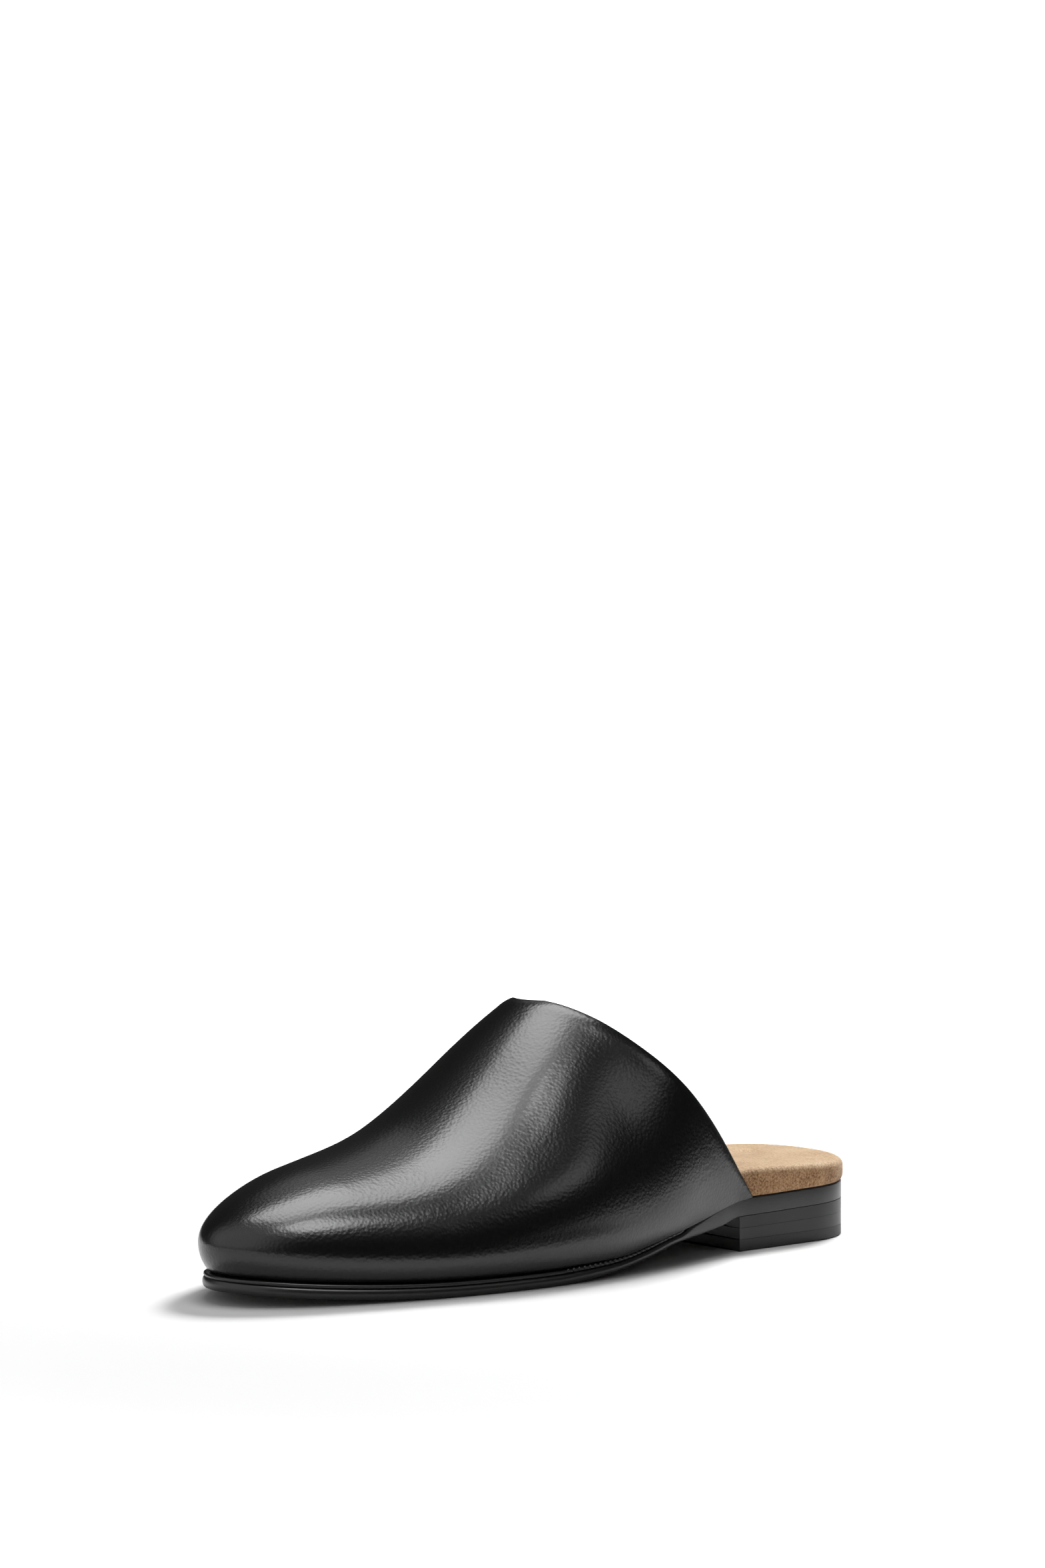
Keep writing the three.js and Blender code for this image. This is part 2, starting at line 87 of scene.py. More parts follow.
# at, centre, ball, seat, rise: the half width is ball * BALL_WIDTH + seat * SEAT_WIDTH, and rise
# is the underside's height as a share of HEEL_HEIGHT
SOLE_TABLE = np.array((
    (0.00, -0.058, 0.377, 0.000, 0.000),
    (0.10, -0.070, 0.406, 0.000, 0.000),
    (0.20, -0.067, 0.446, 0.000, 0.000),
    (0.30, -0.044, 0.485, 0.000, 0.000),
    (0.39, -0.026, 0.500, 0.000, 0.000),
    (0.48, -0.004, 0.478, 0.000, 0.110),
    (0.56, 0.014, 0.400, 0.040, 0.340),
    (0.62, 0.024, 0.250, 0.205, 0.600),
    (0.67, 0.025, 0.150, 0.308, 0.700),
    (0.72, 0.018, 0.050, 0.428, 0.840),
    (BREAST / SOLE_LENGTH, 0.012, 0.010, 0.475, 1.000),
    (0.79, 0.007, 0.000, 0.502, 1.000),
    (0.88, 0.007, 0.000, 0.514, 1.000),
    (1.00, 0.006, 0.000, 0.536, 1.000),
))

# at, rise, fullness, shift, out, lift, tuck: shares of the upper's sizes above
UPPER_TABLE = np.array((
    (0.00, 0.234, 0.00, 0.00, 0.35, 0.66, 1.00),
    (0.10, 0.306, 0.00, 0.22, 0.36, 0.64, 1.00),
    (0.20, 0.390, 0.00, 0.44, 0.40, 0.62, 1.00),
    (0.30, 0.507, 0.00, 0.67, 0.45, 0.62, 1.00),
    (0.40, 0.736, -0.05, 0.89, 0.56, 0.66, 1.00),
    (0.50, 0.965, -0.10, 1.00, 0.78, 0.80, 1.00),
    (0.60, 1.120, -0.15, 0.90, 0.95, 0.93, 0.90),
    (0.70, 1.350, -0.15, 0.70, 0.75, 1.00, 0.45),
    (0.80, 1.550, -0.15, 0.50, 0.62, 1.00, 0.15),
))

# Marks of the fudge wheel along the welt's upper edge, and the half size of the rib between two.
# The real ones are about 1.3 mm apart, and are drawn coarser so that they show
MARK_FROM, MARK_SPACING, MARK_INSET, MARK_DEPTH = 118.0, 2.6, 0.3, 0.45
MARK_HALF_SIZE = (0.85, 0.9, 0.8)

# Mesh density
OUTLINE_STEPS, LID_COLUMNS, EDGE_STEPS = 180, 32, 10
UPPER_ROWS, DOME_STEPS, TUCK_STEPS, RIM_STEPS = 190, 150, 14, 7
BREAST_STEPS, PAD_ROUND_STEPS, RIB_SIDES, RIB_RINGS = 33, 9, 8, 6
CORNER_GAP, MITRE_LIMIT, BEVEL_HOLD = 0.5, 0.5, 0.12
# Smallest steps: to merge points, to read a slope and to keep a length above zero
WELD, NUDGE, TINY, HALVINGS = 2e-6, 1e-4, 1e-9, 40
SHARP_ANGLE = math.radians(50)


def smooth(low, high, value):
    t = np.clip((value - low) / (high - low), 0, 1)
    return t * t * (3 - 2 * t)


def blend(a, b, share):
    return a + (b - a) * share


def hump(value, centre, reach):
    """A soft hump: 1 at the centre and 0 from the reach on."""
    return (1 - np.clip(np.abs((value - centre) / reach), 0, 1) ** 2) ** 2


def column(table, index):
    """A natural cubic spline through one column of a table, read at s."""
    xs, ys = table[:, 0] * SOLE_LENGTH, table[:, index]
    gaps = np.diff(xs)
    count = len(xs)
    pull = np.zeros(count)
    system = np.eye(count)
    for i in range(1, count - 1):
        system[i, i - 1:i + 2] = gaps[i - 1], 2 * (gaps[i - 1] + gaps[i]), gaps[i]
        pull[i] = 6 * ((ys[i + 1] - ys[i]) / gaps[i] - (ys[i] - ys[i - 1]) / gaps[i - 1])
    bend = np.linalg.solve(system, pull)

    def read(s):
        i = np.clip(np.searchsorted(xs, s) - 1, 0, count - 2)
        span = gaps[i]
        a, b = (xs[i + 1] - s) / span, (s - xs[i]) / span
        curve = (a ** 3 - a) * bend[i] + (b ** 3 - b) * bend[i + 1]
        return a * ys[i] + b * ys[i + 1] + curve * span * span / 6
    return read


def steady_column(table, index):
    """A curve through one column that never overshoots its rows, read at s."""
    xs, ys = table[:, 0] * SOLE_LENGTH, table[:, index]
    gaps = np.diff(xs)
    steps = np.diff(ys) / gaps
    product = steps[:-1] * steps[1:]
    total = np.where(product > 0, steps[:-1] + steps[1:], 1)
    slopes = np.concatenate(([0], np.where(product > 0, 2 * product / total, 0), [0]))

    def read(s):
        i = np.clip(np.searchsorted(xs, s) - 1, 0, len(xs) - 2)
        span = gaps[i]
        t = np.clip((s - xs[i]) / span, 0, 1)
        inverse = 1 - t
        return (ys[i] * (1 + 2 * t) * inverse ** 2 + slopes[i] * span * t * inverse ** 2
                + ys[i + 1] * t * t * (3 - 2 * t) - slopes[i + 1] * span * t * t * inverse)
    return read


centre_share, ball_share, seat_share = (column(SOLE_TABLE, i) for i in (1, 2, 3))
rise_share = steady_column(SOLE_TABLE, 4)
ridge_rise, fullness, shift_share, out_share, lift_share, tuck_share = (
    column(UPPER_TABLE, i) for i in range(1, 7))


def rounding(distance, reach, power=2.0):
    """Rounded end of an outline: 0 at the tip and 1 from the reach on."""
    t = 1 - np.clip(distance / reach, 0, 1)
    return (1 - t ** power) ** (1 / power)


def centre_line(s):
    return centre_share(s) * BALL_WIDTH


def plain_half(s):
    return ball_share(s) * BALL_WIDTH + seat_share(s) * SEAT_WIDTH


def sole_half(s):
    heel = rounding(SOLE_LENGTH - s, HEEL_ROUND, HEEL_ROUND_POWER)
    return plain_half(s) * rounding(s, TOE_ROUND) * heel


def underside(s):
    """Height of the sole's underside over the floor, with toe spring, waist and heel seat."""
    spring = TOE_SPRING * np.clip((TREAD_FRONT - s) / TREAD_FRONT, 0, 1) ** 2
    return spring + rise_share(s) * HEEL_HEIGHT + SEAT_SLOPE * np.maximum(0, s - BREAST)


def seatness(s):
    """0 along the forepart and 1 on the heel seat."""
    return smooth(*SEAT_FLARE, s)


def pack_thick(s):
    fore = blend(FORE_PACK, WAIST_PACK, smooth(*WAIST_THIN, s))
    return blend(fore, SEAT_THICK, seatness(s))


def sole_top(s):
    """The sole's top follows its underside, with the bends softened."""
    around = (underside(s - TOP_BEND) + 2 * underside(s) + underside(s + TOP_BEND)) / 4
    return around + pack_thick(s)


def unit(vectors):
    return vectors / np.linalg.norm(vectors, axis=-1, keepdims=True)


def outline_points():
    """The sole's outline from the heel tip round the outer side, the toe and the inner side,
    with the way out at each point."""
    turns = np.linspace(0, math.pi, OUTLINE_STEPS + 1)
    nudge = 10 * NUDGE
    points, outs = [], []
    for side, keep in ((1, slice(None)), (-1, slice(-2, 0, -1))):
        def place(t):
            s = SOLE_LENGTH * (1 + np.cos(t)) / 2
            return np.stack((centre_line(s) + side * sole_half(s), s), -1)
        between = turns[1:-1]
        along = unit(place(between + nudge) - place(between - nudge))
        out = np.stack((-side * along[:, 1], side * along[:, 0]), -1)
        # the tips' own way out is straight back and straight forward
        points.append(place(turns)[keep])
        outs.append(np.concatenate(([(0, 1)], out, [(0, -1)]))[keep])
    return np.concatenate(points), np.concatenate(outs)


OUTLINE, OUTWARD = outline_points()

# From the shoe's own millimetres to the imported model's: its outsole spans the same outline
SOLE_BOX = np.array(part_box("outsole")) / MM
SHIFT = np.array((
    SOLE_BOX[:, 0].mean() - (OUTLINE[:, 0].min() + OUTLINE[:, 0].max()) / 2,
    SOLE_BOX[:, 1].mean() - SOLE_LENGTH / 2,
    0.0,
))


def at_each(value, s):
    """A number for each s, from one number or from a function of s."""
    return value(s) if callable(value) else np.full(len(s), float(value))


def ring(inset, height):
    """The outline moved in by inset and lifted to height, both read at s."""
    moved = OUTLINE - OUTWARD * at_each(inset, OUTLINE[:, 1])[:, None]
    return np.column_stack((moved, at_each(height, np.clip(moved[:, 1], 0, SOLE_LENGTH))))


class Skin:
    """Collects the points and faces of one piece, in the shoe's own millimetres."""

    def __init__(self):
        self.points, self.faces, self.looks, self.count, self.look = [], [], [], 0, 0

    def add(self, points):
        points = np.asarray(points, float).reshape(-1, 3)
        self.points.append(points)
        self.count += len(points)
        return np.arange(self.count - len(points), self.count)

    def fill(self, faces):
        """Adds faces in the present look, the number of one of the piece's materials."""
        self.faces += faces
        self.looks += [self.look] * len(faces)

    def strip(self, a, b, closed=True):
        """Joins two rows of point numbers with quads."""
        if closed:
            a, b = np.append(a, a[0]), np.append(b, b[0])
        self.fill(np.column_stack((a[:-1], a[1:], b[1:], b[:-1])).tolist())

    def loft(self, rings, closed=True):
        rows = [self.add(points) for points in rings]
        for a, b in zip(rows[:-1], rows[1:]):
            self.strip(a, b, closed)
        return rows

    def lid(self, row, points, lift=None):
        """Closes a ring that mirrors across the centre line, with rows from side to side.
        lift(points, share) raises the points between."""
        half = len(row) // 2
        share = np.linspace(0, 1, LID_COLUMNS + 1)[1:-1]
        before = np.full(LID_COLUMNS + 1, row[0])
        for k in range(1, half):
            a, b = points[k], points[-k]
            middle = a + (b - a) * share[:, None]
            if lift:
                middle[:, 2] += lift(middle, share)
            here = np.concatenate(([row[k]], self.add(middle), [row[-k]]))
            self.strip(before, here, closed=False)
            before = here
        self.strip(before, np.full(LID_COLUMNS + 1, row[half]), closed=False)

    def piece(self, name, materials, replaced):
        """The finished piece: doubles merged, faces outwards, smooth but for its sharp edges."""
        mesh = bpy.data.meshes.new(name)
        points = (np.concatenate(self.points) + SHIFT) * MM
        kept = [(face, look) for face, look in
                zip([list(dict.fromkeys(face)) for face in self.faces], self.looks)
                if len(face) > 2]
        mesh.from_pydata(points.tolist(), [], [face for face, _ in kept])
        mesh.polygons.foreach_set("material_index", [look for _, look in kept])
        work = bmesh.new()
        work.from_mesh(mesh)
        bmesh.ops.remove_doubles(work, verts=work.verts, dist=WELD)
        bmesh.ops.dissolve_degenerate(work, edges=work.edges, dist=WELD)
        bmesh.ops.recalc_face_normals(work, faces=work.faces)
        work.to_mesh(mesh)
        work.free()
        return finished(name, mesh, materials, replaced)


def finished(name, mesh, materials, replaced=()):
    """Makes a mesh a piece of the shoe: its shading and materials, hung under the root body,
    with the imported parts it replaces hidden.
    """
    mesh.polygons.foreach_set("use_smooth", [True] * len(mesh.polygons))
    mesh.set_sharp_from_angle(angle=SHARP_ANGLE)
    for material in materials:
        mesh.materials.append(material)
    thing = bpy.data.objects.new(name, mesh)
    bpy.context.scene.collection.objects.link(thing)
    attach(thing, "root")
    if replaced:
        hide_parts(*replaced)
    return thing


# Materials


def hex_colour(text):
    """An sRGB hex colour as linear red, green, blue and alpha."""
    parts = [int(text[i:i + 2], 16) / 255 for i in (1, 3, 5)]
    return [c / 12.92 if c <= 0.04045 else ((c + 0.055) / 1.055) ** 2.4 for c in parts] + [1]


def node(tree, kind, settings=(), **inputs):
    """Adds a shader or geometry node. An input is a value or another node's output socket. Its
    name has _ for spaces, or is i and its number."""
    made = tree.nodes.new(kind)
    for key, value in dict(settings).items():
        setattr(made, key, value)
    for key, value in inputs.items():
        name = key.replace("_", " ")
        socket = made.inputs[int(name[1:]) if name[0] == "i" and name[1:].isdigit() else name]
        if isinstance(value, bpy.types.NodeSocket):
            tree.links.new(value, socket)
        else:
            socket.default_value = value
    return made


def new_material(name, **values):
    """A material with a Principled shader that has these values."""
    material = bpy.data.materials.new(name)
    material.use_nodes = True
    tree = material.node_tree
    tree.nodes.clear()
    shader = node(tree, "ShaderNodeBsdfPrincipled", **values)
    node(tree, "ShaderNodeOutputMaterial", Surface=shader.outputs["BSDF"])
    place = node(tree, "ShaderNodeTexCoord").outputs["Object"]
    return material, tree, shader, place


def per_metre(size_mm):
    """A texture scale that gives features of this size."""
    return 1 / (size_mm * MM)


def box_calf():
    # Chrome-tanned calf, boarded and glazed: deep black with a polish that throws soft lights.
    # Its pebble of about 0.9 mm is drawn 1.2 mm wide, so that it shows
    material, tree, shader, place = new_material(
        "Black glazed box calf", Base_Color=hex_colour("#060606"), Roughness=0.28, IOR=1.5,
        Coat_Weight=0.2, Coat_Roughness=0.15)
    pebble = node(tree, "ShaderNodeTexVoronoi", {"feature": "SMOOTH_F1"}, Vector=place,
                  Scale=per_metre(1.2), Smoothness=0.5)
    swell = node(tree, "ShaderNodeTexNoise", Vector=place, Scale=per_metre(7), Detail=2.0)
    fine = node(tree, "ShaderNodeTexNoise", Vector=place, Scale=per_metre(0.5), Detail=3.0)
    low = node(tree, "ShaderNodeBump", Strength=0.05, Distance=0.0003,
               Height=swell.outputs["Fac"])
    grain = node(tree, "ShaderNodeBump", Strength=0.4, Distance=0.00017,
                 Height=pebble.outputs["Distance"], Normal=low.outputs["Normal"])
    dust = node(tree, "ShaderNodeBump", Strength=0.3, Distance=0.00005,
                Height=fine.outputs["Fac"], Normal=grain.outputs["Normal"])
    tree.links.new(dust.outputs["Normal"], shader.inputs["Normal"])
    return material


def lining_calf():
    # Thin lining calf, vat-dyed and left unglazed: a dry black with no polish
    material, tree, shader, place = new_material(
        "Black matt lining calf", Base_Color=hex_colour("#0b0a0a"), Roughness=0.55, IOR=1.5)
    pores = node(tree, "ShaderNodeTexNoise", Vector=place, Scale=per_metre(0.8), Detail=3.0)
    rough = node(tree, "ShaderNodeBump", Strength=0.25, Distance=0.00008,
                 Height=pores.outputs["Fac"])
    tree.links.new(rough.outputs["Normal"], shader.inputs["Normal"])
    return material


# Painted light and shade: lighter tones painted where the suede faces up into the light, and
# darker tones painted on its side, where shade falls
LIT_TOP_TONES = ((0.38, "#b8987a"), (0.5, "#d3b592"), (0.62, "#e2cbad"))
SHADED_SIDE_TONES = ((0.38, "#6d4f36"), (0.5, "#a17b59"), (0.62, "#bd9974"))


def suede():
    # Split calf brushed to a short nap: matt, with darker and lighter patches where the nap
    # lies differently. Its tufts of about 0.4 mm are drawn 0.8 mm wide, so that they show
    material, tree, shader, place = new_material(
        "Tan brushed suede", Roughness=0.95, IOR=1.4, Sheen_Weight=0.5, Sheen_Roughness=0.4,
        Sheen_Tint=hex_colour("#fff0dc"), Specular_IOR_Level=0.2)
    patches = node(tree, "ShaderNodeTexNoise", Vector=place, Scale=per_metre(14), Detail=4.0,
                   Roughness=0.6)
    nap = node(tree, "ShaderNodeTexNoise", Vector=place, Scale=per_metre(0.8), Detail=3.0,
               Roughness=0.6)
    both = node(tree, "ShaderNodeMix", {"data_type": "FLOAT"}, i0=0.7,
                i2=patches.outputs["Fac"], i3=nap.outputs["Fac"])
    colours = []
    for tones in (SHADED_SIDE_TONES, LIT_TOP_TONES):
        painted = node(tree, "ShaderNodeValToRGB", Fac=both.outputs["Result"])
        elements = painted.color_ramp.elements
        elements.new(0.5)
        for element, (at, colour) in zip(elements, tones):
            element.position, element.color = at, hex_colour(colour)
        colours.append(painted.outputs["Color"])
    # Painted light and shade: the more the surface faces up, the more it takes the lighter top
    # tones, and its side takes the darker ones
    facing = node(tree, "ShaderNodeTexCoord").outputs["Normal"]
    upward = node(tree, "ShaderNodeSeparateXYZ", Vector=facing).outputs["Z"]
    flat = node(tree, "ShaderNodeMapRange", {"interpolation_type": "SMOOTHSTEP"}, Value=upward,
                From_Min=0.15, From_Max=0.95)
    lit_top_shaded_side = node(tree, "ShaderNodeMix", {"data_type": "RGBA"}, i0=flat.outputs["Result"],
                 i6=colours[0], i7=colours[1])
    tree.links.new(lit_top_shaded_side.outputs[2], shader.inputs["Base Color"])
    fuzz = node(tree, "ShaderNodeBump", Strength=0.8, Distance=0.0004,
                Height=nap.outputs["Fac"])
    tree.links.new(fuzz.outputs["Normal"], shader.inputs["Normal"])
    return material


def edge_leather():
    # Vegetable-tanned leather, sanded, inked black and burnished with wax: satin, with fine
    # tool marks along the edge
    material, tree, shader, place = new_material(
        "Black burnished edge leather", Base_Color=hex_colour("#0d0d0d"), Roughness=0.36,
        IOR=1.5, Coat_Weight=0.15, Coat_Roughness=0.25)
    stretch = node(tree, "ShaderNodeMapping", Vector=place, Scale=(1, 1, 6))
    marks = node(tree, "ShaderNodeTexNoise", Vector=stretch.outputs["Vector"],
                 Scale=per_metre(2.5), Detail=4.0)
    rough = node(tree, "ShaderNodeBump", Strength=0.35, Distance=0.0001,
                 Height=marks.outputs["Fac"])
    tree.links.new(rough.outputs["Normal"], shader.inputs["Normal"])
    return material


def stack_leather():
    # Stacked leather lifts, sanded flush and dyed black: satin, with faint level streaks
    material, tree, shader, place = new_material(
        "Black dyed stacked leather", Base_Color=hex_colour("#101010"), Roughness=0.38, IOR=1.5)
    stretch = node(tree, "ShaderNodeMapping", Vector=place, Scale=(1, 1, 14))
    streaks = node(tree, "ShaderNodeTexNoise", Vector=stretch.outputs["Vector"],
                   Scale=per_metre(9), Detail=5.0, Roughness=0.65)
    rough = node(tree, "ShaderNodeBump", Strength=0.14, Distance=0.0001,
                 Height=streaks.outputs["Fac"])
    tree.links.new(rough.outputs["Normal"], shader.inputs["Normal"])
    return material


def top_rubber():
    # Moulded rubber, sanded flush with the stack: duller than the leather over it
    material, tree, shader, place = new_material(
        "Black sanded rubber", Base_Color=hex_colour("#101010"), Roughness=0.48, IOR=1.52)
    sanded = node(tree, "ShaderNodeTexNoise", Vector=place, Scale=per_metre(0.6), Detail=3.0)
    rough = node(tree, "ShaderNodeBump", Strength=0.3, Distance=0.00005,
                 Height=sanded.outputs["Fac"])
    tree.links.new(rough.outputs["Normal"], shader.inputs["Normal"])
    return material


# Upper. u runs across the section from the outer foot (-1) over the ridge (0) to the inner
# foot (1). v runs from the toe tip (0) back along the last
DOME_SHARE = DOME_STEPS / (DOME_STEPS + 2 * TUCK_STEPS)
TOE_OUT = float(out_share(np.array(0.0))) * BULGE
REACH_BACK = TOPLINE_REAR + PAST_TOPLINE


def last_station(v):
    return -TOE_OUT + (REACH_BACK + TOE_OUT) * np.maximum(v, 0) ** TOE_CROWDING


def last_half(s):
    return (plain_half(s) + out_share(s) * BULGE) * rounding(s + TOE_OUT, TOE_ROUND + TOE_OUT)


def foot_height(s):
    return sole_top(np.maximum(0, s)) + CLEARANCE


def widest_point(v, side):
    """The upper's widest line in plan, on the outer side (1) or the inner side (-1)."""
    s = last_station(v)
    return np.stack((centre_line(s) + side * last_half(s), s), -1)


def inward_at(v, side):
    """The way in from the widest line, in plan."""
    v = np.maximum(v, 2 * NUDGE)
    step = np.minimum(10 * NUDGE, v / 2)
    along = unit(widest_point(v + step, side) - widest_point(v - step, side))
    return np.stack((-side * along[..., 1], side * along[..., 0]), -1)


def outer_point(u, v):
    """Points of the upper's outside, for arrays u and v of one shape."""
    s = last_station(v)
    side = np.where(u < 0, 1.0, -1.0)
    low = foot_height(s) + lift_share(s) * BULGE_HEIGHT
    across = -np.sin(math.pi / 2 * np.clip(u / DOME_SHARE, -1, 1))
    level = np.sqrt(np.maximum(0, 1 - across * across))
    shift = shift_share(s) * RIDGE_SHIFT * rounding(s + TOE_OUT, TOE_ROUND)
    rise = ridge_rise(s) * INSTEP_RISE * rounding(s + TOE_OUT, TOE_CAP + TOE_OUT)
    dome = np.stack((
        centre_line(s) + last_half(s) * across - shift * level * level,
        s,
        low + rise * level * (1 + fullness(s) * across * across),
    ), -1)
    turn = TUCK_ANGLE * np.maximum(0, np.abs(u) - DOME_SHARE) / (1 - DOME_SHARE)
    depth = tuck_share(s) * TUCK / (1 - math.cos(TUCK_ANGLE))
    inset = depth * (1 - np.cos(turn))
    plan = widest_point(v, side) + inward_at(v, side) * inset[..., None]
    height = blend(low, foot_height(plan[..., 1]), np.sin(turn) / math.sin(TUCK_ANGLE))
    wall = np.concatenate((plan, height[..., None]), -1)
    return np.where((np.abs(u) <= DOME_SHARE)[..., None], dome, wall)


def outward_at(u, v):
    """The way out from the upper's outside."""
    v = np.maximum(v, 2 * NUDGE)
    across = (outer_point(np.minimum(1, u + NUDGE), v)
              - outer_point(np.maximum(-1, u - NUDGE), v))
    along = outer_point(u, v + NUDGE) - outer_point(u, v - NUDGE)
    return -unit(np.cross(across, along))


# Soft forms pulled over the last by hand: s, place round the section (-1 outer widest line, 0
# ridge, 1 inner widest line), reach along, reach round, and how far the leather stands out in mm
FORMS = (
    (146, -0.62, 46, 0.28, -1.4),
    (116, -0.84, 46, 0.24, 0.9),
    (186, -0.72, 34, 0.40, 0.8),
)
LIP_LENGTH, LIP_DROP, FOLD_FROM = 5.0, 0.6, 0.97


def modelled(u, v, normal):
    """The outside with the hand-made forms, and the lip that rolls in at the topline."""
    point = outer_point(u, v)
    s, place = last_station(v), u / DOME_SHARE
    out = sum(high * hump(s, at, along) * hump(place, around, reach)
              for at, around, along, reach, high in FORMS)
    left = np.linalg.norm(point[-1:] - point, axis=-1)
    out = out - LIP_DROP * np.clip(1 - left / LIP_LENGTH, 0, 1) ** 2
    return point + normal * out[..., None]


def cut_at(point):
    """Below 1 the leather stays."""
    foot = sole_top(np.array(TOPLINE_REAR))
    along = np.maximum(0, point[..., 1] - TOPLINE_FRONT) / (TOPLINE_REAR - TOPLINE_FRONT)
    up = np.maximum(0, point[..., 2] - foot) / (TOPLINE_TOP - foot)
    return along ** TOPLINE_ALONG + up ** TOPLINE_UP


def cut_stations(surface, us):
    """Where along the last the topline cuts each column of the surface."""
    low, high = np.zeros(len(us)), np.ones(len(us))
    for _ in range(HALVINGS):
        middle = (low + high) / 2
        stays = cut_at(surface(us, middle)) < 1
        low, high = np.where(stays, middle, low), np.where(stays, high, middle)
    return low


def toe_tip_normals(us):
    """Both sides of the section meet at the toe tip, so there they share their normals."""
    away = np.abs(us)
    none = np.zeros(len(us))
    up = (outer_point(NUDGE - away, none)
          - outer_point(np.maximum(-1, -away - NUDGE), none))
    below = unit(np.stack((none, -up[:, 2], up[:, 1]), -1) + np.array((0, -TINY, 0)))
    return np.where((away <= DOME_SHARE + NUDGE)[:, None], (0.0, -1.0, 0.0), below)


def make_upper(outside_look, lining_look):
    """A closed shell: outside, lining, the fold at the topline and the foot turned under."""
    columns = DOME_STEPS + 2 * TUCK_STEPS
    us = np.linspace(-1, 1, columns + 1)
    ends = cut_stations(outer_point, us)
    share = np.linspace(0, 1, UPPER_ROWS + 1)[:, None]
    u, v = np.broadcast_arrays(us[None, :], share * ends[None, :])
    normal = outward_at(u, v)
    normal[0] = toe_tip_normals(us)
    outside = modelled(u, v, normal)
    # the fold at the topline is a half round between the outside and the lining, and the last
    # rows move back to make room for it
    half = WALL / 2
    along = unit(outside[-1] - outside[-3])
    back = np.clip((share[:, 0] - FOLD_FROM) / (1 - FOLD_FROM), 0, 1)[:, None, None] * half
    outside = outside - along[None] * back
    skin = Skin()
    lining = outside - normal * WALL
    foot = np.abs(u) > 1 - TINY
    side = np.where(u < 0, 1.0, -1.0)
    inward = np.concatenate((inward_at(v, side) * FOOT_WIDTH, np.zeros(u.shape + (1,))), -1)
    flat = outside + inward
    flat[..., 2] = foot_height(flat[..., 1])
    lining = np.where(foot[..., None], flat, lining)
    outer_rows = skin.loft(outside, closed=False)
    skin.look = 1
    inner_rows = skin.loft(lining, closed=False)
    skin.look = 0
    middle, reach = (outside[-1] + lining[-1]) / 2, (outside[-1] - lining[-1]) / 2
    rim = [middle + reach * math.cos(a) + along * half * math.sin(a)
           for a in np.linspace(0, math.pi, RIM_STEPS + 2)[1:-1]]
    rows = [outer_rows[-1]] + skin.loft(rim, closed=False) + [inner_rows[-1]]
    skin.strip(rows[0], rows[1], closed=False)
    skin.strip(rows[-2], rows[-1], closed=False)
    # the foot, where the leather turns under
    for edge in (0, -1):
        outer_foot = [row[edge] for row in outer_rows]
        inner_foot = [row[edge] for row in inner_rows]
        skin.strip(np.array(outer_foot), np.array(inner_foot), closed=False)
        cap = [row[edge] for row in rows]
        skin.fill([[cap[0], cap[i], cap[i + 1]] for i in range(1, len(cap) - 1)])
    return skin.piece("upper_leather", (outside_look, lining_look), ["upper"])


# Sole and welt


def ledge(s):
    """How far the sole's edge lies below its top, to make room for the welt."""
    return (WELT_THICK + WELT_GAP) * (1 - smooth(WELT_LENGTH - WELT_POINT, WELT_LENGTH, s))


def make_outsole(material):
    """The edge is a half round from the tread up, blended into the square heel seat."""
    def edge_ring(angle):
        def inset(s):
            return blend(EDGE_ROUND, SEAT_ROUND, seatness(s)) * (1 - math.sin(angle))

        def height(s):
            tall = pack_thick(s) - ledge(s)
            reach = blend(*ROUND_SHARE, seatness(s)) * tall
            low = underside(s) + reach * (1 - math.cos(angle))
            high = underside(s) + tall - reach * (1 + math.cos(angle))
            return low if angle <= math.pi / 2 else high
        return ring(inset, height)

    rings = [edge_ring(angle) for angle in np.linspace(0, math.pi, EDGE_STEPS * 2)]
    step = WELT_WIDTH + CLEARANCE
    rings.append(ring(step, lambda s: sole_top(s) - ledge(s)))
    rings.append(ring(step, sole_top))
    skin = Skin()
    rows = skin.loft(rings)
    skin.lid(rows[0], rings[0])
    skin.lid(rows[-1], rings[-1])
    return skin.piece("outsole_leather", (material,), ["outsole"])


def make_welt(material):
    """A strip with a rounded edge, from waist to waist round the toe, that ends in points."""
    stations = OUTLINE[:, 1] < WELT_LENGTH
    first = int(np.argmax(stations))
    last = len(OUTLINE) - first
    s = OUTLINE[:, 1]
    point = np.sqrt(1 - (1 - np.clip((WELT_LENGTH - s) / WELT_POINT, 0, 1)) ** 2)
    radius = WELT_THICK / 2
    loops = []
    for angle in np.linspace(-math.pi / 2, math.pi / 2, EDGE_STEPS):
        out, up = math.cos(angle), math.sin(angle)
        loops.append((WELT_INSET + radius * (1 - out), radius * (1 + up) - WELT_THICK))
    loops += [(WELT_WIDTH, 0.0), (WELT_WIDTH, -WELT_THICK)]
    rails = []
    for inset, drop in loops:
        deep = WELT_WIDTH - (WELT_WIDTH - inset) * point
        rails.append(ring(lambda _: deep, lambda at: sole_top(at) + drop * point))
    sections = np.stack(rails, 1)[first:last + 1]
    skin = Skin()
    skin.loft(sections)
    for section in (0, -1):
        row = skin.add(sections[section])
        skin.fill([row.tolist()])
    return skin.piece("welt_strip", (material,), ["welt"])


